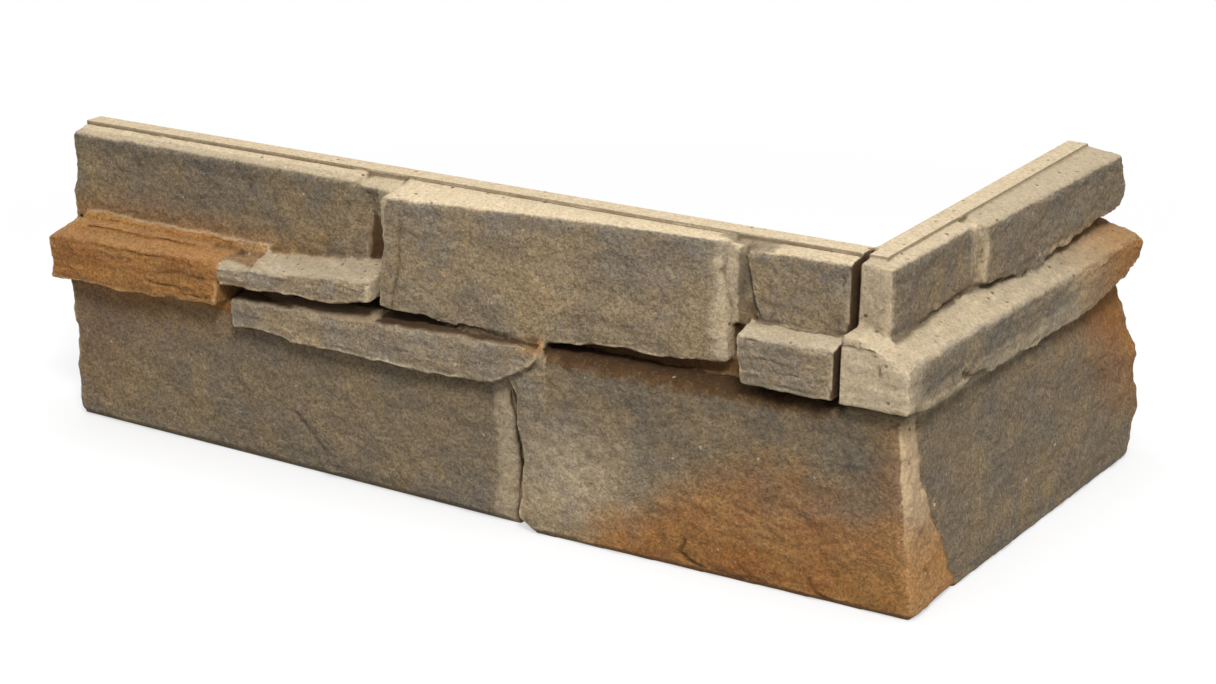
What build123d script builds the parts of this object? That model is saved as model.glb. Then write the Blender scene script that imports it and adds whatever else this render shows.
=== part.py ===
"""Stone cladding corner piece: one concrete casting that wraps an outside corner of a wall.

Two flat-backed legs meet at a right angle. Their faces are cast as a dry-stack wall: a top
row of blocks, a row of thin ledges that stand proud, and tall stones below. The backing rises
a little above the stones, as it leaves the open side of the mould. At the corner the rows
lap each other in turn: the two upper rows belong to the return leg, with an open seam beside
them, and the bottom row belongs to the long leg.

Frame: the origin is the foot of the inside corner. The long leg runs along -X and faces -Y,
the return leg runs along +Y and faces +X, and +Z is up. All sizes are in millimetres.
"""

import os

from build123d import *

# Overall sizes
LONG_LEG = 435.0  # inside length of the long leg
RETURN_LEG = 213.0  # inside length of the return leg
HEIGHT = 152.0  # to the top of the backing
BACKING = 10.0  # thickness of the cast backing
LIP_RISE = 1.5  # the backing stands this much above the stones

# Heights of the courses, measured down from the top of the stones
TOP_COURSE = 32.0  # small blocks beside the corner
LEDGE_COURSE = 26.0  # ledges beside the corner
TALL_TOP_COURSE = 45.0  # the block at the left end
END_LEDGE_COURSE = 29.0  # the ledge at the left end

# Thickness of the stones, measured from the wall
BED = 13.0  # floor of the joints between the stones
CORNER_BLOCK = 17.0
TOP_BLOCK = 21.0
MIDDLE_BLOCK = 34.0
FOOT_STONE = 30.0
LEDGE = 39.0
CORNER_LEDGE = 34.0

# Places along the legs, measured from the inside corner
FIRST_JOINT = 243.0  # between the end block and the middle block
FIRST_GAP = 18.0  # width of that joint, at the wall
SECOND_JOINT = 54.0  # between the middle block and the small block
SLAB_START = 326.0  # left end of the two thin slabs
BOTTOM_JOINT = 162.0  # between the two bottom stones
RETURN_JOINT = 64.0  # between the two blocks of the return
JOINT = 3.0  # width of the joint between the bottom stones
END_PROUD = 3.0  # the end ledge stands past the end of the long leg

# The end of the bottom row, which laps over the return: its distance from the wall's corner
LAP_FOOT = 36.5
LAP_TOP = 26.5
LAP_BEVEL = 3.0  # along its foot
LAP_REACH = 17.0  # it is in sight this far along the return at the foot
LAP_SHORT = 13.0  # and at its top it is hidden from this far short of the wall's corner

# The open seam beside the corner, through the two upper rows
SEAM = 2.5
SEAM_PAST = 1.5  # its right side is this far past the plane of the return's back

DEEP = 80.0  # thicker than any stone

STONE_TOP = HEIGHT - LIP_RISE
LEDGE_TOP = STONE_TOP - TOP_COURSE
LEDGE_FOOT = LEDGE_TOP - LEDGE_COURSE
END_LEDGE_TOP = STONE_TOP - TALL_TOP_COURSE
END_LEDGE_FOOT = END_LEDGE_TOP - END_LEDGE_COURSE

LONG = Plane.XZ  # drawn from the front: X and Z, with the thickness towards -Y
RETURN = Plane.YZ  # drawn from the right: Y and Z, with the thickness towards +X


def broken_outline(corners, chips):
    """The outline of a split stone, anticlockwise from its lower left corner.

    Each side runs from one corner to the next, and its chips say how far it stands out of
    the straight line, at even steps along it. A negative chip is broken away.
    """
    outline = []
    for number, (corner, side) in enumerate(zip(corners, chips)):
        start = Vector(*corner)
        run = Vector(*corners[(number + 1) % len(corners)]) - start
        outwards = run.normalized().rotate(Axis.Z, -90)
        outline.append(start)
        for step, chip in enumerate(side, 1):
            outline.append(start + run * (step / (len(side) + 1)) + outwards * chip)
    return outline


def front_of(block, leg):
    """The largest face of a stone that looks away from the wall."""
    outward = block.faces().filter_by(lambda face: face.normal_at().dot(leg.z_dir) > 0.9)
    return outward.sort_by(SortBy.AREA)[-1]


def stone(
    leg, outline, start, end, crest, batter, climb, edge=2.0, foot_edge=0, facet=None, arris=False
):
    """A split stone that grows out of the backing of one leg.

    start and end are the thickness of its foot at its two ends along the leg, and batter is
    how much thinner it is at the top. crest is the height of the front's upper edge at the
    two ends, and climb is how far the top rises from there to the backing. edge is the
    radius of the front's upper edge, and foot_edge the size of the bevel on its lower one.
    facet is the width and depth of a bevel down its right side, where it meets a joint.
    With arris, its upright edge at the corner of the wall is rounded too.
    """
    left, right = min(p.X for p in outline), max(p.X for p in outline)
    low, high = min(p.Y for p in outline), max(p.Y for p in outline)
    thicker = (end - start) / (right - left)
    thinner = batter / (high - low)
    higher = (crest[1] - crest[0]) / (right - left)
    steeper = climb / (start - BACKING)
    place = leg.from_local_coords
    with BuildPart() as block:
        with BuildSketch(leg):
            with BuildLine():
                Polyline(*outline, close=True)
            make_face()
        extrude(amount=DEEP)
        face = Plane(origin=place(Vector(left, low, start)), z_dir=place(Vector(-thicker, thinner, 1)))
        split(bisect_by=face, keep=Keep.BOTTOM)
        top = Plane(
            origin=place(Vector(left, crest[0], start)), z_dir=place(Vector(-higher, 1, steeper))
        )
        split(bisect_by=top, keep=Keep.BOTTOM)
        if facet:
            width, depth = facet
            bevel = Plane(
                origin=place(Vector(right, low, end - depth)), z_dir=place(Vector(depth, 0, width))
            )
            split(bisect_by=bevel, keep=Keep.BOTTOM)
        front = front_of(block, leg)
        upper = front.edges().filter_by_position(Axis.Z, (low + high) / 2, high)
        rounded = upper.sort_by(SortBy.LENGTH)[-1:]
        if arris:
            rounded += front.edges().sort_by_distance((0, 0, (low + high) / 2))[:1]
        fillet(rounded, edge)
        if foot_edge:
            chamfer(front_of(block, leg).edges().sort_by(Axis.Z)[0], foot_edge)
    return block.part


# Top row of the long leg
end_block_right = -FIRST_JOINT - FIRST_GAP / 2
end_block = stone(
    LONG,
    broken_outline(
        [
            (-LONG_LEG, END_LEDGE_TOP),
            (end_block_right - 2, END_LEDGE_TOP - 1),
            (end_block_right - 5, STONE_TOP),
            (-LONG_LEG, STONE_TOP),
        ],
        [[-4.3, -6.5, -3.3, -0.2, 0], [2, 4, 4.5], [], [0.6, -0.6, 1.5]],
    ),
    start=TOP_BLOCK + 2,
    end=TOP_BLOCK + 2,
    crest=(STONE_TOP - 2, STONE_TOP - 2),
    batter=2,
    climb=2,
    edge=2.5,
    facet=(8, 6),
)

middle_left, middle_right = -FIRST_JOINT + FIRST_GAP / 2, -SECOND_JOINT - 4
middle_block = stone(
    LONG,
    broken_outline(
        [
            (middle_left, LEDGE_FOOT + 2),
            (middle_right, LEDGE_FOOT + 3),
            (middle_right - 2, STONE_TOP),
            (middle_left + 2, STONE_TOP),
        ],
        [[0, 2, 2, 2.5, 3.3, 2.5, 0.6, 1.8, 0.2], [0.5, -1, -4], [], [-0.5, -2.5, 0]],
    ),
    start=MIDDLE_BLOCK + 3,
    end=MIDDLE_BLOCK - 12,
    crest=(STONE_TOP - 3, STONE_TOP - 0.5),
    batter=3,
    climb=3,
    edge=2.5,
)

small_block = stone(
    LONG,
    broken_outline(
        [
            (-SECOND_JOINT + 10, LEDGE_TOP),
            (0, LEDGE_TOP + 1),
            (0, STONE_TOP),
            (-SECOND_JOINT + 4, STONE_TOP),
        ],
        [[1.5, 0.8], [], [], [2, 1, 0]],
    ),
    start=TOP_BLOCK,
    end=TOP_BLOCK,
    crest=(STONE_TOP - 2, STONE_TOP - 1),
    batter=1,
    climb=1.5,
)

# Ledges of the long leg
end_ledge = stone(
    LONG,
    broken_outline(
        [
            (-LONG_LEG - END_PROUD, END_LEDGE_FOOT),
            (-SLAB_START - 3, END_LEDGE_FOOT + 3.5),
            (-SLAB_START, END_LEDGE_TOP + 2),
            (-LONG_LEG - END_PROUD, END_LEDGE_TOP + 2),
        ],
        [[0.2, 0.8, 1.5, 1.2, 0.2], [-0.5], [], [-0.5, 1, -0.5]],
    ),
    start=LEDGE + 2,
    end=LEDGE + 2,
    crest=(END_LEDGE_TOP - 6.5, END_LEDGE_TOP - 4),
    batter=2,
    climb=7,
)

# Two thin layers that the end ledge has split into, below the end block
end_ledge_layers = [
    stone(
        LONG,
        broken_outline(
            [
                (-LONG_LEG - END_PROUD + inset, END_LEDGE_FOOT + 8),
                (-SLAB_START - run_out, END_LEDGE_FOOT + 8),
                (-SLAB_START - run_out, END_LEDGE_TOP + rise),
                (-LONG_LEG - END_PROUD + inset, END_LEDGE_TOP + rise),
            ],
            [[], [1, -1], [], [-1, 1]],
        ),
        start=LEDGE - setback,
        end=LEDGE - setback - 1,
        crest=(END_LEDGE_TOP + rise - 3, END_LEDGE_TOP + rise - 2.5),
        batter=0,
        climb=3,
        edge=0.8,
    )
    for inset, run_out, setback, rise in ((9, 14, 8, 2.5), (12, -20, 13, 6.5))
]

upper_slab = stone(
    LONG,
    broken_outline(
        [
            (-SLAB_START, END_LEDGE_TOP - 14.5),
            (middle_left - 3, LEDGE_FOOT + 4.5),
            (middle_left - 2, END_LEDGE_TOP + 5),
            (-SLAB_START - 2, END_LEDGE_TOP + 1),
        ],
        [[0.9, 1.6, 2.7], [-0.5], [], []],
    ),
    start=LEDGE + 1,
    end=LEDGE + 1,
    crest=(END_LEDGE_TOP - 6.5, END_LEDGE_TOP + 1.5),
    batter=1,
    climb=10,
    edge=1.5,
)

slab_end = -BOTTOM_JOINT + 16
lower_slab = stone(
    LONG,
    broken_outline(
        [
            (-SLAB_START + 4, END_LEDGE_FOOT - 7),
            (-BOTTOM_JOINT - 10, END_LEDGE_FOOT - 7),
            (slab_end, LEDGE_FOOT - 7),
            (slab_end, LEDGE_FOOT + 2),
            (-SLAB_START + 4, LEDGE_FOOT),
        ],
        [[-1.5, 1.5, 0.9, 0.7, 1, 1.1, 0.7], [2], [], [], [1]],
    ),
    start=LEDGE - 1,
    end=LEDGE - 1,
    crest=(LEDGE_FOOT - 8.5, LEDGE_FOOT - 1.5),
    batter=1,
    climb=4,
    edge=1.5,
)

corner_ledge_block = stone(
    LONG,
    broken_outline(
        [
            (-SECOND_JOINT + 8, LEDGE_FOOT + 1),
            (0, LEDGE_FOOT + 2),
            (0, LEDGE_TOP + 3),
            (-SECOND_JOINT + 7, LEDGE_TOP + 3),
        ],
        [[0.5, 0.8], [], [], [0.5, 0, -0.5]],
    ),
    start=CORNER_LEDGE + 1,
    end=CORNER_LEDGE + 1,
    crest=(LEDGE_TOP - 3.5, LEDGE_TOP - 2.5),
    batter=1,
    climb=5,
)

# Bottom row of the long leg
left_foot_right = -BOTTOM_JOINT + 0.5
left_foot_stone = stone(
    LONG,
    broken_outline(
        [
            (-LONG_LEG, 0),
            (left_foot_right, 0),
            (left_foot_right - 6.5, LEDGE_FOOT - 13),
            (-LONG_LEG, LEDGE_FOOT - 13),
        ],
        [[], [1, 4.5, 4, 3.5, 2.5], [], [0.5, -0.5, 0.5]],
    ),
    start=FOOT_STONE,
    end=FOOT_STONE,
    crest=(LEDGE_FOOT - 12, LEDGE_FOOT - 12),
    batter=0,
    climb=0,
    edge=1.5,
    foot_edge=3.5,
    facet=(8, 5),
)

right_foot_left = left_foot_right + JOINT
right_foot_stone = stone(
    LONG,
    broken_outline(
        [
            (right_foot_left + 8, 0),
            (LAP_FOOT, 0),
            (LAP_TOP, LEDGE_FOOT + 1),
            (right_foot_left - 5, LEDGE_FOOT + 1),
            (right_foot_left, 7),
        ],
        [[], [], [], [1.8, -2.1, -2.5, -4.7, -1.8], []],
    ),
    start=FOOT_STONE + 5,
    end=FOOT_STONE - 3,
    crest=(LEDGE_FOOT - 4, LEDGE_FOOT - 3.5),
    batter=1,
    climb=0,
    edge=5,
    foot_edge=LAP_BEVEL,
    arris=True,
)

# Return leg
corner_block = stone(
    RETURN,
    broken_outline(
        [
            (-TOP_BLOCK + 2.5, LEDGE_TOP + 1),
            (RETURN_JOINT - 10, LEDGE_TOP + 3),
            (RETURN_JOINT - 5, STONE_TOP),
            (-TOP_BLOCK + 2.5, STONE_TOP),
        ],
        [[0.5, 0], [7.5, 6, 2.5], [], []],
    ),
    start=CORNER_BLOCK,
    end=CORNER_BLOCK + 1.5,
    crest=(STONE_TOP - 1, STONE_TOP - 1),
    batter=0.5,
    climb=1,
    edge=2.5,
    arris=True,
)

far_block = stone(
    RETURN,
    broken_outline(
        [
            (RETURN_JOINT, LEDGE_TOP + 3),
            (RETURN_LEG + 4, LEDGE_TOP + 3.5),
            (RETURN_LEG + 2, STONE_TOP),
            (RETURN_JOINT + 3, STONE_TOP),
        ],
        [[2.2, 4.5, 3, 2.2, 0.4], [6.5, 5, 2.5], [], [0.5, -1, 0]],
    ),
    start=CORNER_BLOCK + 6,
    end=CORNER_BLOCK + 12,
    crest=(STONE_TOP - 2, STONE_TOP - 1.5),
    batter=1,
    climb=2,
)

return_ledge = stone(
    RETURN,
    broken_outline(
        [
            (-CORNER_LEDGE, LEDGE_FOOT + 1),
            (RETURN_LEG - 23, LEDGE_FOOT - 1),
            (RETURN_LEG + 4, LEDGE_FOOT + 5.5),
            (RETURN_LEG + 2, LEDGE_TOP + 5),
            (-CORNER_LEDGE, LEDGE_TOP + 5),
        ],
        [
            [1.6, 2.8, 1.7, -1, 3, 3, 3.3, 4.5, 3.7, 3.4, 5, 3.8, 1.7],
            [-0.5],
            [3.5, 2, -1],
            [],
            [],
        ],
    ),
    start=CORNER_LEDGE,
    end=CORNER_LEDGE + 7,
    crest=(LEDGE_TOP - 4.5, LEDGE_TOP - 7.5),
    batter=1.5,
    climb=9,
    edge=4.5,
    arris=True,
)

return_foot_stone = stone(
    RETURN,
    broken_outline(
        [
            (LAP_REACH, 0),
            (RETURN_LEG - 15, 0),
            (RETURN_LEG + 3, 24),
            (RETURN_LEG - 7, LEDGE_FOOT - 1),
            (-LAP_SHORT, LEDGE_FOOT + 1),
        ],
        [[], [1.6, -1], [1, -0.5, 5, 4, 8, 7], [], [3, 7, 9, 7.5, 4.5, 3, 2]],
    ),
    start=LAP_FOOT - 1,
    end=LAP_FOOT + 10.5,
    crest=(LEDGE_FOOT - 8, LEDGE_FOOT - 24),
    batter=8.7,
    climb=70,
    edge=1.5,
    foot_edge=2,
)

# The joints of the top row aren't open down to the bed: thin slivers of stone stand in them
first_joint_fill = stone(
    LONG,
    broken_outline(
        [
            (end_block_right - 8, STONE_TOP - 15),
            (middle_left + 4, STONE_TOP - 15),
            (middle_left + 4, STONE_TOP),
            (end_block_right - 8, STONE_TOP),
        ],
        [[2, -1], [], [], []],
    ),
    start=BED,
    end=BED + 2,
    crest=(STONE_TOP - 3, STONE_TOP - 2),
    batter=-7,
    climb=1,
    edge=1,
)
second_joint_fill = stone(
    LONG,
    broken_outline(
        [
            (middle_right - 4, LEDGE_TOP - 5),
            (-SECOND_JOINT + 14, LEDGE_TOP - 5),
            (-SECOND_JOINT + 14, STONE_TOP),
            (middle_right - 4, STONE_TOP),
        ],
        [[], [], [], []],
    ),
    start=TOP_BLOCK - 4,
    end=TOP_BLOCK - 2,
    crest=(STONE_TOP - 3, STONE_TOP - 2),
    batter=0.5,
    climb=2,
)
return_joint_fill = stone(
    RETURN,
    broken_outline(
        [
            (RETURN_JOINT - 14, LEDGE_TOP),
            (RETURN_JOINT + 8, LEDGE_TOP),
            (RETURN_JOINT + 8, STONE_TOP),
            (RETURN_JOINT - 14, STONE_TOP),
        ],
        [[], [], [], []],
    ),
    start=CORNER_BLOCK - 0.5,
    end=CORNER_BLOCK + 1.5,
    crest=(STONE_TOP - 2.5, STONE_TOP - 2.5),
    batter=0.5,
    climb=1,
)

# The end of the right foot stone, which runs on behind the return's foot stone. What stays in
# sight of it widens towards the foot.
with BuildPart() as corner_lap:
    with BuildSketch(RETURN):
        with BuildLine():
            Polyline(
                (-FOOT_STONE / 2, 0),
                (LAP_REACH + 3, 0),
                (0, LEDGE_FOOT),
                (-FOOT_STONE / 2, LEDGE_FOOT),
                close=True,
            )
        make_face()
    extrude(amount=DEEP)
    side_face = Plane(
        origin=(LAP_FOOT, 0, 0), z_dir=(LEDGE_FOOT + 1, 0, LAP_FOOT - LAP_TOP)
    )
    split(bisect_by=side_face, keep=Keep.BOTTOM)
    chamfer(corner_lap.edges().group_by(Axis.Z)[0].sort_by(Axis.X)[-1], LAP_BEVEL)

# The L-shaped backing, the floor of the joints in front of it, and all the stones on it
with BuildPart() as panel:
    for thickness, inset, height in ((BACKING, 0, HEIGHT), (BED, 1, STONE_TOP - JOINT)):
        with BuildSketch():
            with BuildLine():
                Polyline(
                    (-LONG_LEG + inset, 0),
                    (-LONG_LEG + inset, -thickness),
                    (thickness, -thickness),
                    (thickness, RETURN_LEG - inset),
                    (0, RETURN_LEG - inset),
                    (0, 0),
                    close=True,
                )
            make_face()
        extrude(amount=height)
    for block in (
        end_block,
        middle_block,
        small_block,
        end_ledge,
        *end_ledge_layers,
        upper_slab,
        lower_slab,
        corner_ledge_block,
        first_joint_fill,
        second_joint_fill,
        return_joint_fill,
        left_foot_stone,
        right_foot_stone,
        corner_block,
        far_block,
        return_ledge,
        return_foot_stone,
        corner_lap.part,
    ):
        add(block)
    with Locations((SEAM_PAST, 0, LEDGE_FOOT + 1)):
        Box(SEAM, DEEP, HEIGHT, align=(Align.MAX, Align.MAX, Align.MIN), mode=Mode.SUBTRACT)
    # Stones stand past the ends of the legs only in front, so that both backs are clean
    with Locations((-LONG_LEG, -BACKING / 2, 0)):
        Box(DEEP, BACKING, HEIGHT, align=(Align.MAX, Align.MIN, Align.MIN), mode=Mode.SUBTRACT)
    with Locations((BACKING / 2, RETURN_LEG, 0)):
        Box(BACKING, DEEP, HEIGHT, align=(Align.MAX, Align.MIN, Align.MIN), mode=Mode.SUBTRACT)

panel.part.label = "corner_panel"

os.makedirs("parts", exist_ok=True)
export_step(panel.part, "parts/corner_panel.step")
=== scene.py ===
# %% [markdown]
# # A cast stone cladding corner
#
# This object is one piece of concrete, about 480 mm long and 152 mm high. It was poured into a
# rubber mould that was taken from real split stones, and it wraps the outside corner of a wall.
# The imported part already has every stone, ledge and joint at its real size. This script keeps
# that shape and gives it what a mould copies from stone: worn edges, a rough split face, thin
# layers, chips and sand grain, and then the colours that were dusted into the mould, with painted
# shade in the joints, corners and hollows.

from math import exp, floor, radians, sqrt

import bmesh
import bpy
from mathutils import Euler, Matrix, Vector, noise


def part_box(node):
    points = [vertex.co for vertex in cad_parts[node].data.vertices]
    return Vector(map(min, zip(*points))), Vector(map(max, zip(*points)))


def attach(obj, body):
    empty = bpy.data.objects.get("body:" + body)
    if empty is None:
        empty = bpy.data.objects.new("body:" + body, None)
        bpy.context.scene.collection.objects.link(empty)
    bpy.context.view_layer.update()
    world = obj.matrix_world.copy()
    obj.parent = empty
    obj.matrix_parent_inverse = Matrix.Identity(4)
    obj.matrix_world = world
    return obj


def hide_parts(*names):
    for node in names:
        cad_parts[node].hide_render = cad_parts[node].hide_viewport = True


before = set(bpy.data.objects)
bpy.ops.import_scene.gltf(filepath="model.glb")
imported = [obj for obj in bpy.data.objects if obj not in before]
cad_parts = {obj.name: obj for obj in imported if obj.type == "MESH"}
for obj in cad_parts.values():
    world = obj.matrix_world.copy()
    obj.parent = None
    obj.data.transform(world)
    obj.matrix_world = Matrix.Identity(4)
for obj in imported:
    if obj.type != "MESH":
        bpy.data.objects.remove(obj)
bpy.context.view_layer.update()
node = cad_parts["corner_panel"]
low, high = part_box("corner_panel")
print("part from", [round(c, 3) for c in low], "to", [round(c, 3) for c in high])

# %% [markdown]
# ## Working in the part's own frame
#
# The origin is the foot of the inside corner. The long leg runs along -X and faces -Y, and the
# return runs along +Y and faces +X. Blender counts in metres, but stone is easier to think of
# in millimetres, so each length below is written in millimetres and times MM.

# %% Sizes that the relief follows
MM = 0.001
HEIGHT = high[2]
LIP_FOOT = HEIGHT - 1.5 * MM  # the top of the stones, where the cast backing goes on
BACKING = 10 * MM  # the lip is this wide
NET = 1.0 * MM  # width of one mesh cell while the relief is shaped
FLAT = 0.25 * MM  # anything nearer than this to a mould or table face counts as part of it


# %% Two small helpers
noise.seed_set(7)  # without a seed, noise_vector starts from the clock


def ramp(value, start, end):
    """0 before start, 1 after end, and an even slope between. start may be the larger."""
    return min(max((value - start) / (end - start), 0.0), 1.0)


def fractal(point, size, octaves=3):
    """A soft noise from about -1 to 1 whose blotches are size metres across."""
    return noise.fractal(point / size, 1.0, 2.0, octaves)


# %% [markdown]
# ## An even net over the whole casting
#
# A CAD mesh has long thin triangles, with no points in the middle of a face to move. Relief
# needs a point every millimetre or so. Slicing every face with planes would do, but leaves
# slivers. A voxel remesh gives square cells of one size over all of it, closed and in one go,
# so it is used here. It also breaks the CAD's razor edges by about one cell, as casting does.
# The part's own mesh isn't touched: the net is made from a copy whose corners are joined first.


# %% Remesh a copy of the part
def applied(mesh, kind, **settings):
    """The mesh that one modifier makes of another mesh."""
    carrier = bpy.data.objects.new("carrier", mesh)
    bpy.context.collection.objects.link(carrier)
    modifier = carrier.modifiers.new("step", kind)
    for name, value in settings.items():
        setattr(modifier, name, value)
    depsgraph = bpy.context.evaluated_depsgraph_get()
    result = bpy.data.meshes.new_from_object(carrier.evaluated_get(depsgraph))
    bpy.data.objects.remove(carrier)
    return result


joined = node.data.copy()
bm = bmesh.new()
bm.from_mesh(joined)
bmesh.ops.remove_doubles(bm, verts=bm.verts, dist=0.01 * MM)
bm.to_mesh(joined)
bm.free()
net = applied(joined, "REMESH", mode="VOXEL", voxel_size=NET)
print("net of", len(net.polygons), "cells")

# %% [markdown]
# ## What must stay flat
#
# The two backs and the foot are flat because they lay against the wall side of the mould or are
# laid on the row below, and the raised lip was struck off level. Those points keep their place.

# %% Tell flat points from stone
stone = bmesh.new()
stone.from_mesh(net)
stone.normal_update()


def on_flat_face(point):
    """Whether a point lies on a back, the foot or the lip of the casting."""
    on_back = point.y > -FLAT and point.x < FLAT
    on_lip = point.z > LIP_FOOT + 0.7 * MM
    return on_back or on_lip or point.z < FLAT


movable = [vert for vert in stone.verts if not on_flat_face(vert.co)]
cast = [vert.co.copy() for vert in movable]
normals = [vert.normal.copy() for vert in movable]
print(len(stone.verts) - len(movable), "points stay flat,", len(movable), "get relief")

# %% [markdown]
# ## The stones, one by one
#
# The relief and the colours both depend on which stone a point belongs to. Each stone is listed
# once, as a box in its leg's own terms: how far along the leg, how high, and how far out from
# the wall it begins. Stones that stand proud come first, since the first box that fits counts.
# After the box come four looks: how light it is, how much blue-grey pigment it took, how much
# bare beige shows, and how clearly it splits in level layers.

# %% The stones and their looks
LONG, RETURN = "long", "return"
STONES = {
    # name: (leg, from, to, foot, top, out, lightness, blue-grey, bare, layers)
    "end ledge": (LONG, -441, -327, 74, 116, 24, -0.03, 0.0, 0.0, 0.6),
    "upper slab": (LONG, -331, -236, 86, 116, 24, 0.28, 0.45, 0.0, 0.7),
    "lower slab": (LONG, -325, -143, 66, 93, 31.5, 0.24, 0.5, 0.0, 0.6),
    "corner ledge": (LONG, -49, 0, 90, 120, 22, 0.14, 0.55, 0.0, 0.9),
    "end of the return ledge": (LONG, 0, 47, 88, 121, 0, -0.02, 0.0, 0.95, 0.6),
    "end of the corner block": (LONG, 0, 30, 116, 152, 0, -0.18, 0.0, 0.9, 0.0),
    "end block": (LONG, -441, -245, 98, 152, 16, -0.14, 0.3, 0.0, 0.25),
    "first joint": (LONG, -262, -229, 130, 152, 0, -0.1, 0.0, 0.8, 0.0),
    "middle block": (LONG, -236, -55, 90.5, 152, 15, 0.1, 0.15, 0.0, 0.0),
    "small block": (LONG, -54, 0, 115, 152, 19.4, 0.02, 0.3, 0.0, 0.0),
    "second joint": (LONG, -66, -38, 112, 152, 0, -0.5, 0.0, 0.65, 0.0),
    "left foot stone": (LONG, -441, -161, 0, 84, 16, -0.08, 0.15, 0.0, 0.0),
    "right foot stone": (LONG, -163, 40, 0, 94, 16, -0.07, 0.15, 0.0, 0.0),
    "return ledge": (RETURN, -41, 226, 86, 123.5, 18, -0.03, 0.1, 0.0, 0.5),
    "return joint": (RETURN, 57, 66, 123, 152, 0, -0.04, 0.0, 0.65, 0.0),
    "corner block": (RETURN, -41, 62, 118, 152, 0, 0.0, 0.35, 0.0, 0.0),
    "far block": (RETURN, 52, 226, 118, 152, 0, 0.04, 0.3, 0.0, 0.0),
    "return foot stone": (RETURN, -41, 226, 0, 94, 16, -0.06, 0.25, 0.0, 0.0),
}
JOINT_LOOK = (0.0, 0.0, 0.3, 0.0)


def place_of(point, normal):
    """The leg a point is on, and in millimetres its place along it, its height and its
    distance from the wall."""
    if abs(normal.x + normal.y) > 0.2:
        faces_return = normal.x > -normal.y
    else:
        faces_return = point.x > -point.y
    if point.x > 0 and (point.y > 0 or faces_return):
        return RETURN, point.y / MM, point.z / MM, point.x / MM
    return LONG, point.x / MM, point.z / MM, -point.y / MM


def stone_at(leg, u, v, out):
    """The name of the stone at a place, or None between the stones, and its four looks."""
    for name, (of_leg, start, end, foot, top, proud, *looks) in STONES.items():
        if leg == of_leg and start < u < end and foot < v < top and out > proud:
            return name, looks
    return None, JOINT_LOOK


print(len(STONES), "stones")

# %% [markdown]
# ## Worn edges
#
# The edges of split stone aren't rounded evenly: a hard spot stays sharp and a soft one breaks
# off. A bevel would make every edge alike. Instead the whole net is smoothed, which only moves
# points near an edge, and each point then goes part of the way to its smoothed place, or past
# it where a chip has come off. How far it goes comes from a noise. Inner corners and the open
# seam are sheltered and wear much less, or smoothing would fill them in. How far smoothing moved
# a point is also kept, because it tells outer edges from inner corners when colour is laid on.

# %% Find the open seam
SEAM_FOOT = 92 * MM  # the seam beside the corner is open from here to the top


def in_seam(point, reach):
    """Whether a point is within reach millimetres of the open seam beside the corner."""
    return abs(point.x) < reach * MM and point.y < 0 and point.z > SEAM_FOOT


# %% Wear the edges
SMOOTHING = 26  # rounds of smoothing, which reach about 5 mm in from an edge
FULL_EDGE = 0.9 * MM  # smoothing moves a point on a clear edge by this much
DEEP_CORNER, CLEAR_EDGE = -2.5, 1.0  # a point's edge number is kept between these
LEAST_WEAR, MOST_WEAR = 0.25, 1.5  # 1 is the smoothed place, and more than 1 is a chip
SHELTERED = 0.35  # the share of the wear that reaches an inner corner or the seam

for step in range(SMOOTHING):
    bmesh.ops.smooth_vert(
        stone, verts=movable, factor=0.5, use_axis_x=True, use_axis_y=True, use_axis_z=True
    )
edges = []
for vert, sharp, normal in zip(movable, cast, normals):
    edge = (sharp - vert.co).dot(normal) / FULL_EDGE
    edges.append(min(max(edge, DEEP_CORNER), CLEAR_EDGE))
    name, (light, cool, bare, layers) = stone_at(*place_of(sharp, normal))
    wear = (0.75 + 0.7 * fractal(sharp, 10 * MM)) * (1 - 0.35 * layers)
    wear = min(max(wear, LEAST_WEAR), MOST_WEAR)
    if edge < 0 or in_seam(sharp, 6):
        wear *= SHELTERED
    vert.co = sharp.lerp(vert.co, wear)
print("edges worn:", sum(edge > 0.5 for edge in edges), "points on an edge,",
      sum(edge < -0.7 for edge in edges), "in an inner corner")

# %% [markdown]
# ## Cracks, scars and layers
#
# Several kinds of mark sit on particular stones. A crack or crease is a thin groove along a short
# line. A scar is a curved bite near a lower edge, where a flake sprang off. A stone that rests on
# another one has a dark groove at its foot, and a wider pit is a lost grain or air bubble. The
# ledges are slate that is split into layers, so their faces also carry a few long level lines.
# Each mark is given by its leg and its points in millimetres, and its depth fades from the
# middle of the groove to its sides.

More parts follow.
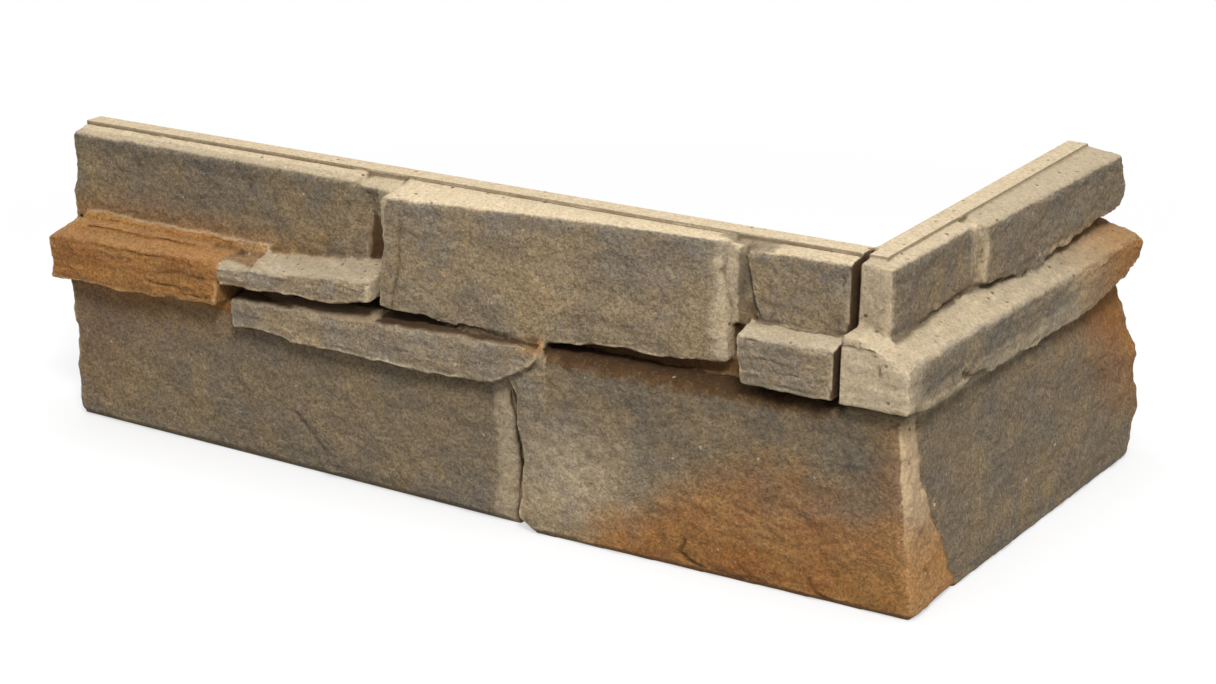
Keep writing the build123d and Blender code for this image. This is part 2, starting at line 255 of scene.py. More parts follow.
# %% The marks, in millimetres along the leg and above the foot
MARKS = [
    # leg, points, half width, depth
    (LONG, [(-221, 138), (-221, 123), (-223, 111), (-226, 96)], 1.3, 0.9),
    (LONG, [(-290, 30), (-282, 22), (-272, 12)], 2.2, 0.7),
    (LONG, [(-284, 34), (-278, 27)], 1.6, 0.4),
    (LONG, [(-330, 44), (-318, 31), (-312, 24)], 3.0, 0.5),
    (LONG, [(-72, 15), (-74, 9), (-69, 5), (-62, 3)], 1.8, 1.2),
    (LONG, [(-56, 4), (-48, 2), (-40, 3)], 1.8, 0.9),
    (LONG, [(-12, 9), (-9, 4), (-2, 1)], 2.0, 1.1),
    (LONG, [(-374, 86), (-360, 85.5), (-344, 85)], 0.9, 1.0),
    (LONG, [(-352, 83), (-340, 82.5), (-332, 84)], 0.9, 0.9),
    (LONG, [(-366, 91), (-350, 93), (-336, 92)], 1.1, 0.8),
    (LONG, [(-436, 97), (-410, 98), (-372, 98.5), (-340, 98)], 1.0, 0.7),
    (LONG, [(-420, 104.5), (-380, 104), (-350, 105)], 1.0, 0.8),
    (LONG, [(-50.5, 149), (-50, 140), (-48, 132), (-46, 124), (-43, 119)], 1.2, 1.3),
    (LONG, [(16, 118), (18, 117.5)], 1.1, 1.1),
    (LONG, [(19, 113), (20, 110)], 1.3, 1.3),
    (RETURN, [(17, 97), (25, 93.5), (40, 91.5)], 2.4, 1.8),
    (RETURN, [(59, 146), (60, 132), (62, 121)], 1.2, 0.8),
    (RETURN, [(-13, 36), (-10, 35)], 3.5, 0.8),
    (RETURN, [(-11, 18), (-9, 16)], 3.0, 0.7),
    (LONG, [(-236, 94.5), (-216, 92.6), (-198, 92.4), (-181, 92), (-164, 91.3), (-150, 92)],
     1.4, 1.6),
    (LONG, [(-46, 118.6), (-30, 117.6), (-14, 118), (-2, 119.5)], 1.3, 1.4),
    (LONG, [(2, 119.8), (9, 119.2), (17, 119.5)], 1.0, 1.2),
    (RETURN, [(-18, 119.6), (18, 120), (40, 120.8), (54, 121.5)], 1.2, 1.2),
    (LONG, [(-161.5, 0), (-160, 24), (-161, 40), (-162.5, 53), (-164, 64)], 1.9, 1.6),
]
# Where the end of the right foot stone stops on the return, from the foot up
LAP_LINE = [
    (17, 0), (16, 3), (10, 14), (5, 28), (-4, 44), (-9, 55), (-13, 65), (-12, 73), (-13, 92),
]
MARKS.append((RETURN, LAP_LINE[::-1], 1.0, 0.8))
NEAR_MARK = 8  # millimetres past a line's two ends within which it can matter


def distance_to_line(u, v, line):
    """How far a place is from the nearest piece of a line."""
    nearest = 1e9
    for (u1, v1), (u2, v2) in zip(line, line[1:]):
        du, dv = u2 - u1, v2 - v1
        t = ramp((u - u1) * du + (v - v1) * dv, 0, du * du + dv * dv)
        nearest = min(nearest, sqrt((u - u1 - t * du) ** 2 + (v - v1 - t * dv) ** 2))
    return nearest


def mark_depth(leg, u, v):
    """How deep the marks cut at a place, in millimetres."""
    depth = 0.0
    for mark_leg, line, half_width, cut in MARKS:
        if leg != mark_leg or not line[0][0] - NEAR_MARK < u < line[-1][0] + NEAR_MARK:
            continue
        depth = max(depth, cut * (1 - ramp(distance_to_line(u, v, line), 0, half_width)))
    return depth


print(len(MARKS), "marks")

# %% [markdown]
# ## The split face
#
# A split face is made of four things at four sizes. Broad swells a hand wide come from how the
# stone broke. On top of them lie shallow plates, where one thin layer came away and left a low
# step, and creases, where two breaks met. The finest is the sand itself. A plate is a noise
# whose height is rounded to steps, and a crease is where a noise passes through nought. Last, a
# noise that pushes points sideways makes the straight CAD outlines ragged.

# %% Shape the faces
SWELL = 1.2 * MM  # height of the broad swells
PLATE = 0.9 * MM  # height of the plates, which is climbed in steps
CREASE = 0.35 * MM  # depth of a crease
ROUGH = 0.4 * MM  # the sand
LAYER = 0.9 * MM  # how far a layer of a slate ledge stands out
RAGGED, RAGGED_FINE = 0.9, 0.5  # millimetres of push any way, over 10 mm and over 3.4 mm
TOP_CALM, FOOT_CALM = 7 * MM, 4 * MM  # the push fades out this near to the top and the foot
SHALLOW = 11.5  # millimetres from the wall: the joint floors and the lip, which stay straight


def terraces(value, steps):
    """Turns a smooth slope into flat plates with short risers between them."""
    level = value * steps
    whole = floor(level)
    riser = ramp(level - whole, 0.75, 1.0)
    return (whole + riser * riser * (3 - 2 * riser)) / steps


def split_relief(point):
    """How far the split face stands out at a point."""
    swell = fractal(point, 55 * MM, 2)
    stretched = Vector((point.x * 0.6 + 3, point.y * 0.6 + 1, point.z * 1.3 + point.x * 0.25))
    plate = terraces(fractal(stretched, 30 * MM, 4) * 0.5, 4)
    crease = max(1 - 7 * abs(fractal(stretched * 1.3 + Vector((0, 0, 5)), 26 * MM, 3)), 0)
    rough = fractal(point, 5 * MM, 3)
    return swell * SWELL + plate * PLATE - crease * CREASE + rough * ROUGH


def layer_relief(point):
    """Fine level lines: a noise that is long sideways and thin upwards."""
    bent = point.z + 0.6 * MM * noise.noise(point / (12 * MM))
    flat_point = Vector((point.x / 40, point.y / 40, bent / 1.9)) / MM
    return terraces(noise.fractal(flat_point, 0.8, 2.0, 2), 3) * LAYER


for vert, sharp, normal in zip(movable, cast, normals):
    leg, u, v, out = place_of(sharp, normal)
    name, (light, cool, bare, layers) = stone_at(leg, u, v, out)
    facing = max(-normal.y if leg == LONG else normal.x, 0)
    height = split_relief(sharp) * (0.25 + 0.75 * facing) * (1.0 if name else 0.5)
    height *= 1 - 0.75 * bare
    if layers:
        height = height * (1 - 0.5 * layers) + layer_relief(sharp) * layers * (0.4 + 0.6 * facing)
    if facing > 0.3:
        height -= mark_depth(leg, u, v) * MM
    ragged = noise.noise_vector(sharp / (10 * MM)) * RAGGED * MM
    ragged += noise.noise_vector(sharp / (3.4 * MM)) * RAGGED_FINE * MM
    room = min((HEIGHT - sharp.z) / TOP_CALM, sharp.z / FOOT_CALM, 1.0)
    room *= 1 - 0.5 * bare
    if out < SHALLOW or in_seam(sharp, 4):
        room *= 0.2
    vert.co += (normal * height + ragged) * max(room, 0.0)
print("relief shaped")

# %% [markdown]
# ## The groove at the foot of the lip
#
# Where the backing meets the stones, a dark hairline runs along both legs. It is a real groove:
# the backing was poured onto stones that had begun to set.

# %% Sink the groove
GROOVE = 0.4 * MM  # its depth
GROOVE_MIDDLE, GROOVE_HALF = 0.6 * MM, 0.8 * MM  # how far out of the lip, and half its width

sunk = 0
for vert, sharp in zip(movable, cast):
    out = max(sharp.x, -sharp.y)
    if sharp.z > LIP_FOOT - 1.2 * MM and abs(out - BACKING - GROOVE_MIDDLE) < GROOVE_HALF:
        vert.co.z -= GROOVE * (1 + 0.5 * fractal(sharp, 8 * MM))
        sunk += 1
print(sunk, "points in the groove")

# %% [markdown]
# ## Where each colour lies
#
# The mould was dusted with pigments before the pour: grey-brown over most stones, rust over one
# ledge and parts of the lower stones, blue-grey along some edges. The tops and sides hold bare
# beige concrete, because no pigment reached them. Joints, cracks, inner corners and undersides
# are darkened with dirt and painted shade. Each of these is a number from 0 to 1 at every point,
# kept in the mesh as a named attribute. A fifth number, around nought, says how much lighter or
# darker the point is, and carries painted light and shade too. A texture could do this too, but
# the object would then need an unwrap and an image.


# %% Where the rust is
def blob(u, v, cu, cv, ru, rv):
    """A soft round patch: 1 in its middle, fading over the two radii."""
    return exp(-(((u - cu) / ru) ** 2) - ((v - cv) / rv) ** 2)


# The upper edge of the rust on the right foot stone, from left to right
RUST_LINE = [
    (-152, -20), (-124, 8), (-97, 28), (-66, 42), (-42, 54), (-20, 55), (0, 51), (20, 52), (40, 58),
]


def height_of(line, u):
    """How high a line is at a place along the leg. Its points go from left to right."""
    for (u1, v1), (u2, v2) in zip(line, line[1:]):
        if u <= u2:
            return v1 + (v2 - v1) * (u - u1) / (u2 - u1)
    return line[-1][1]


def long_rust(name, u, v, wobble):
    """Rust on the long leg: the end ledge and around it, and the lower right foot stone."""
    if name == "end ledge":
        return 1.0
    if name == "end block":
        return 0.75 * ramp(v, 124 + 8 * wobble, 108) * ramp(u, -250, -320)
    if name == "upper slab":
        return 0.35 * ramp(v, 96, 92)
    if name == "left foot stone":
        return max(0.9 * blob(u, v, -400, 80, 66, 17), 0.3 * blob(u, v, -425, 40, 25, 30))
    if name == "right foot stone":
        edge = height_of(RUST_LINE, u) + 14 * wobble
        low_right = ramp(v, edge + 10, edge - 16) * (0.7 + 0.3 * ramp(v, 42, 10))
        under_block = 0.8 * ramp(v, 84, 88) * ramp(u, 5, -40)
        return max(low_right, under_block)
    if name == "second joint":
        return 0.55 * ramp(v, 130, 114)
    if name is None:
        return 0.45
    return 0.0


def return_rust(name, u, v, wobble):
    """Rust on the return: the far nose of the ledge, and the upper far part below it."""
    if name == "return ledge":
        return ramp(u, 125 + 25 * wobble, 200)
    if name == "return foot stone":
        return ramp(u + 1.1 * (v - 60), 142 + 16 * wobble, 208)
    if name is None:
        return 0.35
    return 0.0


# %% [markdown]
# The floors of the joints, the inner corners and the cracks are darkened: with dirt, and with
# painted shade where shade would fall. A few stones have a row or a scatter of small pits besides.


# %% Where the dirt and painted shade are
CREVICE_SHADE = {LONG: 0.9, RETURN: 0.5}  # painted shade in inner corners, lighter on the return


def dirt_and_painted_shade(leg, edge, spot):
    """How dark a point is with dirt and painted shade."""
    name, u, v, out, facing, up, top, fine, wobble = spot
    shade = 0.85 * ramp(out, 16.5, 13.5) if name is None and facing > 0.5 else 0.0
    shade = max(shade, CREVICE_SHADE[leg] * ramp(-edge, 0.5, 1.2))
    if facing > 0.3:
        shade = max(shade, 0.7 * ramp(mark_depth(leg, u, v), 0.2, 1.0))
    if name == "end block":
        pits = ramp(fine, 0.2, 0.55) * ramp(abs(v - 138), 5, 1) * ramp(facing, 0.3, 0.7)
        shade = max(shade, 0.55 * pits)
    if name == "second joint":
        shade = max(shade, 0.5 * ramp(fine, 0.05, 0.5))
    return shade


# %% [markdown]
# Some stones aren't the same all over. Pigment ran over from the rust ledge onto its neighbour,
# one facet stayed bare, and the far end of the right foot stone, which laps round the corner,
# fades from bare to rust towards the foot. The next two cells hold those places, one for each
# leg. Their numbers are places in millimetres and shares from 0 to 1.


# %% Places that differ on the long leg
def long_places(spot, look):
    """The look at a point of the long leg, changed where part of its stone differs."""
    name, u, v, out, facing, up, top, fine, wobble = spot
    pale, rust, cool, shade, light = look
    if name == "end ledge":
        pale *= 0.3
    if name == "lower slab":  # dark at the back, in the shade of the slab above
        pale *= 1 - 0.5 * top
        shade = max(shade, 0.95 * ramp(out + 0.7 * fine, 37, 34.5) * top)
    if name in ("upper slab", None) and u < -308 and 102 < v < 116:  # beside the rust ledge
        pale, rust, light = 0.3 * pale, 0.7, light - 0.1
    if name == "middle block":  # the facet at its right end
        pale = max(pale, 0.65 * ramp(u + 2 * fine, -67, -63))
    if name == "right foot stone":
        return right_foot_stone(spot, (pale, rust, cool, shade, light))
    if name is None and 80 < v < 98:  # painted shade in the gaps under the blocks, rusty in the middle
        if -143 < u < -45:
            rust, shade = 0.9, 0.4
        elif -330 < u:
            shade = 0.9
    if name == "lower slab" or up > 0.3:
        pale, rust = rusty_nose(u, v, pale, rust)
    if name == "left foot stone" and u > -173 - 3 * wobble:  # its right end
        pale = max(pale, 0.55)
    return pale, rust, cool, shade, light


def rusty_nose(u, v, pale, rust):
    """Bare concrete and rust near the right end of the lower slab, which is stained."""
    nose = blob(u, v, -147, 92, 8, 5)
    return pale * (1 - 0.8 * nose), max(rust, 0.8 * nose)


def right_foot_stone(spot, look):
    """The look of the right foot stone: painted shade and rust under the ledges, pale at its right
    end.
    """
    name, u, v, out, facing, up, top, fine, wobble = spot
    pale, rust, cool, shade, light = look
    # painted shade under the ledges, with rust
    if v > 82 and u < 0:
        deep = ramp(v + 2 * fine, 82, 88) * ramp(u, 5, -30)
        pale, rust, shade = 0.2 * pale, max(rust, deep), max(shade, 0.6 * deep)
        light -= 0.7 * deep
    if up > 0.3:
        pale, rust = rusty_nose(u, v, pale, rust)
    band = ramp(u + 0.05 * v + 4 * fine, 33, 39) * (0.25 + 0.75 * ramp(v, 18, 60))
    pale = max(pale, 0.9 * band)
    rust = max(rust, 0.4 * ramp(u, 10, 22))
    light += 0.16 * band - (0.05 + 0.13 * ramp(v, 48, 74)) * ramp(u, 34, 26)
    tan = blob(u, v, -132, 30, 34, 30)
    light += 0.32 * tan + 0.1 * ramp(rust, 0.3, 0.8) * ramp(v, 10, 30)
    return max(pale, 0.4 * tan), rust, cool, shade, light


# %% Places that differ on the return
LAP_EDGE = [(v, u) for u, v in LAP_LINE]  # turned, to look up how far the lap reaches at a height


def return_places(spot, look):
    """The look at a point of the return, changed where part of its stone differs."""
    name, u, v, out, facing, up, top, fine, wobble = spot
    pale, rust, cool, shade, light = look
    if name == "return foot stone" and u < height_of(LAP_EDGE, v) + 0.4:  # the lap
        pale, light = 1 - 0.7 * ramp(v, 58 + 10 * wobble, 30), 0.17
        rust = max(ramp(v, 70 + 14 * wobble, 20), 0.45)
    if name == "return ledge":
        light -= (0.06 + 0.14 * ramp(u, 60, 150)) * top
        if facing > 0.5:  # blue-grey above and near the corner, bare below and at the corner
            grey = ramp(u, 150 + 25 * wobble, 108) * ramp(v + 4 * fine, 95, 101)
            cool = max(cool, 0.9 * grey)
            grey *= 1 - ramp(u + 4 * fine, -26, -34)
            cool = min(cool, max(grey, 0.2))
            below = (0.6 - 0.5 * ramp(u, 130, 190)) * (1 - grey)
            pale = max(pale, below, 0.85 * ramp(u + 5 * fine, -18, -30))
    return pale, rust, cool, shade, light


# %% [markdown]
# Now all of it comes together for one point. A top or a side facet is bare, an upper edge took
# more blue-grey, an outer edge is rubbed lighter, and the backs and the lip are plain concrete.
# The open seam and the undersides get painted shade, inner corners are painted darker, and the
# layers of a ledge get painted light and shade.

# %% Masks for one point
NAMES = ("pale", "rust", "cool", "shade", "light")
BARE = (1.0, 0.0, 0.0, 0.0, 0.0)
TOP_DARKER = {  # taken off the lightness on top of a stone; on the lower slab it is painted shade from the block above
    "end ledge": 0.12, "upper slab": 0.5, "lower slab": 0.35, "corner ledge": 0.27,
    "far block": 0.22,
}
BANDED_BLOCKS = ("end block", "middle block", "small block", "corner block", "far block")


def masks(point, normal, edge):
    """The shares of bare concrete, rust, blue-grey, and dirt with painted shade, and how light it
    is.
    """
    if point.z > LIP_FOOT + 0.5 * MM or (point.y > -FLAT and point.x < FLAT):
        return BARE
    leg, u, v, out = place_of(point, normal)
    name, (light, cool, bare, layers) = stone_at(leg, u, v, out)
    wobble = fractal(point, 24 * MM, 3)
    fine = fractal(point + Vector((1, 2, 3)), 6 * MM, 3)
    facing = -normal.y if leg == LONG else normal.x
    up = normal.z
    top = ramp(up + 0.15 * fine, 0.4, 0.75)
    side = ramp(facing + 0.15 * fine, 0.5, 0.25) * ramp(up, -0.75, -0.4)
    rust_of, places = (long_rust, long_places) if leg == LONG else (return_rust, return_places)
    rust = rust_of(name, u, v, wobble) * (1.0 if name else 1 - top)
    spot = (name, u, v, out, facing, up, top, fine, wobble)
    look = (max(bare, top, 0.6 * side), rust, cool, dirt_and_painted_shade(leg, edge, spot),
            light - TOP_DARKER.get(name, 0) * top)
    pale, rust, cool, shade, light = places(spot, look)
    # painted shade on the walls of the open seam
    if in_seam(point, 4) and abs(normal.x) > 0.5:
        pale, shade = 0.0, 0.9
    if name in BANDED_BLOCKS:
        upper_band = ramp(v, 139 + 4 * fine, 144) * ramp(up, 0.75, 0.5)
        cool = max(cool, 0.8 * upper_band)
        light -= 0.12 * upper_band * (1 - ramp(up, 0.2, 0.5))
    if name in ("left foot stone", "return foot stone"):
        cool = max(cool, 0.6 * ramp(v, 18 + 5 * wobble, 4))
    rim = max(edge, 0) * ramp(up, 0.35, 0.0)
    # painted shade: inner corners are painted darker, and outer edges are rubbed lighter
    light += 0.18 * rim + 0.12 * min(max(edge, -1), 0)
    # painted light and shade on the layers: lighter where a layer stands out, darker where it is
    # sunk
    if layers:
        light += 0.14 * layers * max(min(layer_relief(point) / (0.5 * LAYER), 1), -1)
    # painted shade on undersides
    if up < -0.5:
        shade = max(shade, 0.35)
    return max(pale, 0.7 * rim * rim), rust, cool, shade, light


# %% Store the masks in the mesh
rows = [BARE] * len(stone.verts)
for vert, sharp, normal, edge in zip(movable, cast, normals, edges):
    rows[vert.index] = masks(sharp, normal, edge)
stone.to_mesh(net)
stone.free()
for name, values in zip(NAMES, zip(*rows)):
    net.attributes.new(name, "FLOAT", "POINT").data.foreach_set("value", values)
    print(name, "average", round(sum(values) / len(values), 3))

# %% [markdown]
# ## Fewer triangles, spent where they show
#
# The net has over 600,000 triangles, and most lie on flat backs or smooth faces. The Decimate
# modifier collapses the edges that matter least, so chips and cracks keep their points while
# the backs end up with a few large triangles. It blends the masks of the points that it joins.
# The relief has pushed some of the proudest points past the real size, by less than half a
# millimetre. Those are put back on the sides of the part's own box.

# %% Decimate
TRIANGLES = 192_000  # a little under the 200,000 that one piece may have

cells = sum(len(polygon.vertices) - 2 for polygon in net.polygons)
skin = applied(net, "DECIMATE", ratio=TRIANGLES / cells)
skin.name = "cast_stone_corner"
print(cells, "triangles became", sum(len(polygon.vertices) - 2 for polygon in skin.polygons))
print("kept:", [name for name in NAMES if name in skin.attributes])

# %% Keep every point inside the part's box
outside = 0
for vert in skin.vertices:
    kept = Vector(min(max(c, least), most) for c, least, most in zip(vert.co, low, high))
    outside += kept != vert.co
    vert.co = kept
print(outside, "points put back on the box")

# %% [markdown]
# ## The material
#
# The real thing is pigmented cement with sand: matte, a little rough to the hand, with grains
# of many tints. It has no gloss, so its look is all in colour and bump.


# %% Material helpers
def linear(hex_colour):
    """An sRGB hex value as the linear colour that shaders take."""
    channels = [int(hex_colour[i : i + 2], 16) / 255 for i in (1, 3, 5)]
    return [c / 12.92 if c <= 0.04045 else ((c + 0.055) / 1.055) ** 2.4 for c in channels] + [1]


def add(tree, kind, inputs=None, **settings):
    """Adds a node. inputs gives each socket a value or the output that feeds it."""
    added = tree.nodes.new(kind)
    for name, value in settings.items():
        setattr(added, name, value)
    for name, value in (inputs or {}).items():
        if isinstance(value, bpy.types.NodeSocket):
            tree.links.new(value, added.inputs[name])
        else:
            added.inputs[name].default_value = value
    return added


# %% Start the material of the casting
material = bpy.data.materials.new("pigmented_cast_concrete")
material.use_nodes = True
tree = material.node_tree
tree.nodes.clear()
place = add(tree, "ShaderNodeTexCoord").outputs["Object"]
share = {}
for name in NAMES:
    share[name] = add(tree, "ShaderNodeAttribute", attribute_name=name).outputs["Fac"]

# %% [markdown]
# The tints vary at several sizes at once, as pigment and cement mix unevenly. Each size is one
# noise texture, spread so that it runs from 0 to the most it may do.

# %% Noises of several sizes
NOISES = {
    # name: (blotch in mm, detail, roughness, noise that gives 0, noise that gives most, most)
    "clouds": (34, 3, 0.5, 0.3, 0.7, 1.0),
    "grey clouds": (21, 5, 0.6, 0.48, 0.62, 0.6),
    "mottle": (10, 6, 0.64, 0.33, 0.67, 0.42),
    "grit": (2.4, 5, 0.75, 0.35, 0.65, 1.0),
    "stain": (5.5, 6, 0.7, 0.5, 0.72, 0.4),
    "fleck": (1.5, 2, 0.6, 0.56, 0.68, 0.3),
    "hollow": (14, 2, 0.5, 0.47, 0.55, 1.0),
}
for name, (size, detail, roughness, at_nought, at_most, most) in NOISES.items():
    blotches = add(
        tree, "ShaderNodeTexNoise",
        {"Vector": place, "Scale": 1000 / size, "Detail": detail, "Roughness": roughness},
    )
    share[name] = add(
        tree, "ShaderNodeMapRange",
        {
            "Value": blotches.outputs["Fac"],
            "From Min": at_nought, "From Max": at_most, "To Max": most,
        },
    ).outputs[0]
print(len(NOISES), "noises")

# %% [markdown]
# The sand shows as grains about a millimetre across, some lighter and some darker than the
# cement, with a rare white one that catches the eye. Real grains are nearer half a millimetre,
# but in the picture those would be finer than a pixel, so they are drawn about twice as coarse.
# Here and there on bare concrete an air bubble left a pit.

# %% Sand and pits
GRAIN, BUBBLE = 1.0, 7  # millimetres from one grain or bubble to the next

grains = add(tree, "ShaderNodeTexVoronoi", {"Vector": place, "Scale": 1000 / GRAIN})
tint = add(tree, "ShaderNodeSeparateColor", {"Color": grains.outputs["Color"]})
share["grain"] = tint.outputs[0]
for name, channel, rarity, most in (("tan grain", 1, 0.88, 0.25), ("glint", 2, 0.9993, 0.4)):
    share[name] = add(
        tree, "ShaderNodeMapRange",
        {
            "Value": tint.outputs[channel],
            "From Min": rarity, "From Max": rarity + 1e-4, "To Max": most,
        },
    ).outputs[0]
bubbles = add(tree, "ShaderNodeTexVoronoi", {"Vector": place, "Scale": 1000 / BUBBLE})
share["bubble"] = add(
    tree, "ShaderNodeMapRange",
    {"Value": bubbles.outputs["Distance"], "From Min": 0.17, "From Max": 0.05},
).outputs[0]

# %% [markdown]
# The hairline at the foot of the lip gets painted shade, darker than its shadow in the render.
# It is thinner than a mesh triangle, so the material finds it by its place: just outside the lip
# on either leg, and near the top.

# %% The dirty hairline
HAIRLINE = BACKING + 0.3 * MM  # how far out its middle is
HAIRLINE_HALF = 0.25 * MM  # half its width
HAIRLINE_FOOT = LIP_FOOT - 2 * MM  # it is sought above this

axes = add(tree, "ShaderNodeSeparateXYZ", {"Vector": place})
forward = add(tree, "ShaderNodeMath", {0: axes.outputs["Y"], 1: -1.0}, operation="MULTIPLY")
outward = add(
    tree, "ShaderNodeMath", {0: axes.outputs["X"], 1: forward.outputs[0]}, operation="MAXIMUM"
)
share["beside lip"] = add(
    tree, "ShaderNodeMath", {0: outward.outputs[0], 1: HAIRLINE, 2: HAIRLINE_HALF},
    operation="COMPARE",
).outputs[0]
share["near top"] = add(
    tree, "ShaderNodeMath", {0: axes.outputs["Z"], 1: HAIRLINE_FOOT}, operation="GREATER_THAN"
).outputs[0]

# %% Shares that are products of two others
for name, first, second, times in (
    ("cool mottle", "cool", "mottle", 1.8),
    ("rust mottle", "rust", "mottle", 0.4),
    ("hollow bubble", "bubble", "hollow", 1.0),
    ("pit", "hollow bubble", "pale", 1.1),
    ("hairline", "beside lip", "near top", 0.55),
):
    both = add(tree, "ShaderNodeMath", {0: share[first], 1: share[second]}, operation="MULTIPLY")
    share[name] = add(
        tree, "ShaderNodeMath", {0: both.outputs[0], 1: times}, operation="MULTIPLY", use_clamp=True
    ).outputs[0]
share["rusty"] = add(
    tree, "ShaderNodeMath", {0: share["rust"], 1: 0.87, 2: share["rust mottle"]},
    operation="MULTIPLY_ADD", use_clamp=True,
).outputs[0]

# %% [markdown]
# Now the colours. There are three grounds: the pigmented face, rust and bare concrete. Each is
# built up in coats, and each coat covers what is below it by one of the shares above. The face
# then takes the rust, and the bare concrete lies over both where no pigment fell.

# %% Coats of colour
FACTOR, UNDER, OVER, RESULT = 0, 6, 7, 2  # sockets of a Mix node that mixes colours

COATS = {
    "face": [
        ("#7b6e5d", None), ("#a28b66", "clouds"), ("#747069", "grey clouds"),
        ("#9b886c", "mottle"), ("#655a4e", "stain"), ("#75716b", "cool mottle"),
    ],
    "rusted": [
        ("#9f602c", None), ("#aa7b42", "clouds"), ("#b58347", "mottle"), ("#8b613a", "stain"),
    ],
    "bare": [
        ("#c3b091", None), ("#d6c5a6", "mottle"), ("#ad9b7d", "stain"), ("#bf9462", "rusty"),
        ("#98907f", "cool mottle"),
    ],
}
ground = {}
for name, coats in COATS.items():
    ground[name] = linear(coats[0][0])
    for hex_colour, cover in coats[1:]:
        ground[name] = add(
            tree, "ShaderNodeMix",
            {FACTOR: share[cover], UNDER: ground[name], OVER: linear(hex_colour)}, data_type="RGBA",
        ).outputs[RESULT]
colour = ground["face"]
for over, cover in (("rusted", "rusty"), ("bare", "pale")):
    colour = add(
        tree, "ShaderNodeMix", {FACTOR: share[cover], UNDER: colour, OVER: ground[over]},
        data_type="RGBA",
    ).outputs[RESULT]

# %% [markdown]
# Each grain is a little lighter or darker than the cement. Bare concrete is finer and more even
# than split stone, so there the grains are drawn most of the way to one level, and the bump is
# halved. After that come dirt and painted shade, pits and the few grains that stand out.

# %% Lighter and darker grains, then dirt and single grains on top
NUMBER_UNDER, NUMBER_OVER = 2, 3  # sockets of a Mix node that mixes numbers
CALM, CALM_LEVEL = 0.55, 0.88  # how far bare concrete is drawn to one level, and that level

level = share["grain"]
for times, plus in ((0.5, 0.5), (1.08, 0.0)):
    level = add(
        tree, "ShaderNodeMath", {0: level, 1: times, 2: plus}, operation="MULTIPLY_ADD"
    ).outputs[0]
level = add(tree, "ShaderNodeMath", {0: share["grit"], 1: 0.3, 2: level}, operation="MULTIPLY_ADD")
calm = add(tree, "ShaderNodeMath", {0: share["pale"], 1: CALM}, operation="MULTIPLY")
level = add(
    tree, "ShaderNodeMix",
    {FACTOR: calm.outputs[0], NUMBER_UNDER: level.outputs[0], NUMBER_OVER: CALM_LEVEL},
)
tone = add(tree, "ShaderNodeMath", {0: share["light"], 1: 1.0}, operation="ADD")
level = add(tree, "ShaderNodeMath", {0: level.outputs[0], 1: tone.outputs[0]}, operation="MULTIPLY")
colour = add(
    tree, "ShaderNodeVectorMath", {0: colour, "Scale": level.outputs[0]}, operation="SCALE"
).outputs[0]
# The shade coat is dirt and painted shade, and the hairline coat is painted shade in the groove at
# the foot of the lip.
for hex_colour, cover in (
    ("#b3935f", "tan grain"), ("#4b4034", "fleck"), ("#57452f", "pit"), ("#40290f", "shade"),
    ("#55432c", "hairline"), ("#e6dccb", "glint"),
):
    colour = add(
        tree, "ShaderNodeMix", {FACTOR: share[cover], UNDER: colour, OVER: linear(hex_colour)},
        data_type="RGBA",
    ).outputs[RESULT]

# %% The surface
SAND = 0.4 * MM  # height of the sand in the bump

height = share["grit"]
for part, times in (("mottle", 0.7), ("grain", 0.5), ("pit", -1.8)):
    height = add(
        tree, "ShaderNodeMath", {0: share[part], 1: times, 2: height}, operation="MULTIPLY_ADD"
    ).outputs[0]
smoother = add(tree, "ShaderNodeMapRange", {"Value": share["pale"], "To Min": 1.0, "To Max": 0.5})
bump = add(
    tree, "ShaderNodeBump",
    {"Height": height, "Distance": SAND, "Strength": smoother.outputs[0]},
)
roughness = add(
    tree, "ShaderNodeMapRange", {"Value": share["grit"], "To Min": 0.82, "To Max": 0.96}
)
shader = add(
    tree, "ShaderNodeBsdfPrincipled",
    {
        "Base Color": colour, "Roughness": roughness.outputs[0], "IOR": 1.5,
        "Specular IOR Level": 0.3, "Normal": bump.outputs[0],
    },
)
add(tree, "ShaderNodeOutputMaterial", {"Surface": shader.outputs[0]})
print("material with", len(tree.nodes), "nodes")

# %% Put the casting in the scene
SHARP = 50  # degrees; a fold sharper than this, as where the lip meets the back, isn't smoothed

casting = bpy.data.objects.new("cast_stone_corner", skin)
bpy.context.collection.objects.link(casting)
skin.materials.clear()
skin.materials.append(material)
skin.shade_smooth()
skin.set_sharp_from_angle(angle=radians(SHARP))
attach(casting, "root")
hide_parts("corner_panel")

# %% [markdown]
# ## Floor
#
# The photograph has a pure white ground. A white floor would throw so much light up that the
# undersides of the ledges lost their shade. So this one is mid grey for the light that falls on
# the object, and white for the camera: a lift of plain white that keeps the shadow near the
# object and grows to full white further out.

# %% Floor
MIDDLE = (-0.2, 0.08, 0.0)  # the middle of the casting, on the floor
NEAR, FAR = 0.3, 0.65  # metres from there; between them the shadow fades into plain white
LIFT = 0.58  # of plain white, added for the camera only

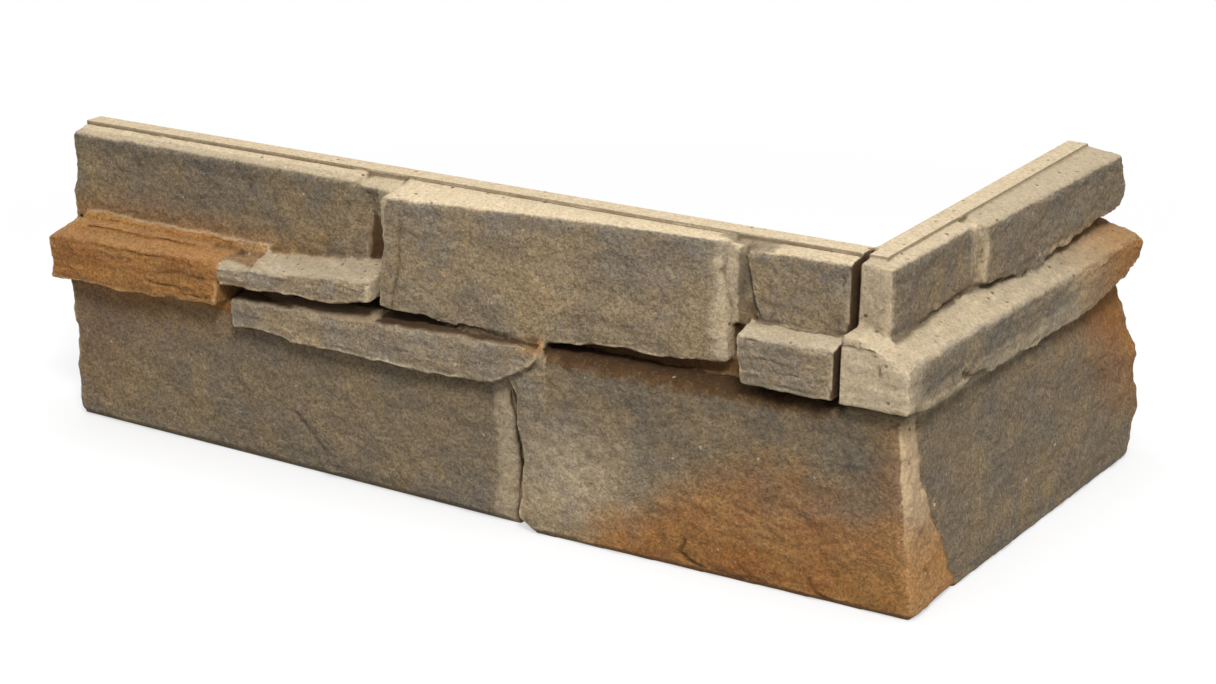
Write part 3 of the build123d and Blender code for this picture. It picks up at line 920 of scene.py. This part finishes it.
floor_mesh = bpy.data.meshes.new("floor")
bm = bmesh.new()
bmesh.ops.create_grid(bm, x_segments=1, y_segments=1, size=6)
bm.to_mesh(floor_mesh)
bm.free()
floor_object = bpy.data.objects.new("floor", floor_mesh)
bpy.context.collection.objects.link(floor_object)
paint = bpy.data.materials.new("matte_white_paint")
paint.use_nodes = True
coat = paint.node_tree
coat.nodes.clear()
seen = add(coat, "ShaderNodeLightPath")
rays = seen.outputs["Is Camera Ray"]
for other in ("Is Glossy Ray", "Is Transmission Ray"):
    rays = add(
        coat, "ShaderNodeMath", {0: rays, 1: seen.outputs[other]}, operation="MAXIMUM"
    ).outputs[0]
spot = add(coat, "ShaderNodeTexCoord").outputs["Object"]
reach = add(coat, "ShaderNodeVectorMath", {0: spot, 1: MIDDLE}, operation="DISTANCE")
far = add(
    coat, "ShaderNodeMapRange",
    {"Value": reach.outputs["Value"], "From Min": NEAR, "From Max": FAR},
)
matte = add(coat, "ShaderNodeBsdfDiffuse", {"Color": linear("#a0a0a0")})
lift = add(coat, "ShaderNodeEmission", {"Color": linear("#ffffff"), "Strength": LIFT})
lifted = add(coat, "ShaderNodeAddShader", {0: matte.outputs[0], 1: lift.outputs[0]})
white = add(coat, "ShaderNodeEmission", {"Color": linear("#ffffff"), "Strength": 1.0})
shown = add(
    coat, "ShaderNodeMixShader", {0: far.outputs[0], 1: lifted.outputs[0], 2: white.outputs[0]}
)
either = add(coat, "ShaderNodeMixShader", {0: rays, 1: matte.outputs[0], 2: shown.outputs[0]})
add(coat, "ShaderNodeOutputMaterial", {"Surface": either.outputs[0]})
floor_mesh.materials.append(paint)

# %% [markdown]
# ## Light
#
# The photograph was lit from above and from the right of the camera by soft boxes: tops are
# much brighter than faces, both legs are lit alike, and ledges throw short soft shadows. One
# softbox hangs overhead, one stands to the front right, and a dim even sky fills the rest. The
# camera sees that sky as white.

# %% Sky
SKY = 0.3  # how much it lights the casting

world = bpy.data.worlds.new("studio")
bpy.context.scene.world = world
world.use_nodes = True
air = world.node_tree
air.nodes.clear()
seen = add(air, "ShaderNodeLightPath")
rays = seen.outputs["Is Camera Ray"]
for other in ("Is Glossy Ray", "Is Transmission Ray"):
    rays = add(
        air, "ShaderNodeMath", {0: rays, 1: seen.outputs[other]}, operation="MAXIMUM"
    ).outputs[0]
strength = add(air, "ShaderNodeMapRange", {"Value": rays, "To Min": SKY, "To Max": 1.0})
glow = add(
    air, "ShaderNodeBackground", {"Color": linear("#ffffff"), "Strength": strength.outputs[0]}
)
add(air, "ShaderNodeOutputWorld", {"Surface": glow.outputs[0]})


# %% Softboxes
def softbox(name, stand, target, size, watts):
    """A square lamp that looks at a target."""
    lamp = bpy.data.lights.new(name, "AREA")
    lamp.shape = "SQUARE"
    lamp.size = size
    lamp.energy = watts
    rig = bpy.data.objects.new(name, lamp)
    rig.location = stand
    rig.rotation_euler = (Vector(target) - Vector(stand)).to_track_quat("-Z", "Y").to_euler()
    bpy.context.collection.objects.link(rig)


# name, where it stands, where it looks, side in metres, watts
softbox("front_right", (0.8, -1.2, 1.8), (-0.1, 0, 0.08), 0.6, 43)
softbox("overhead", (-0.2, 0.0, 1.5), (-0.2, 0, 0), 1.6, 17)

# %% [markdown]
# ## Camera
#
# The two rear edges of the lip are straight and at a right angle, so where they run in the
# photograph gives the camera's place, its turn and its focal length in pixels.

# %% Camera
SENSOR = 36  # millimetres across
PICTURE, FOCAL = 1216, 2315  # pixels: the picture's width and the focal length

camera = bpy.data.cameras.new("camera")
camera.sensor_width = SENSOR
camera.lens = SENSOR * FOCAL / PICTURE
viewpoint = bpy.data.objects.new("camera", camera)
viewpoint.location = (393.5 * MM, -836.1 * MM, HEIGHT + 276.3 * MM)
viewpoint.rotation_euler = Euler((radians(90 - 19.1), 0, radians(32.1)))
bpy.context.collection.objects.link(viewpoint)
bpy.context.scene.camera = viewpoint
bpy.context.scene.view_settings.view_transform = "Standard"
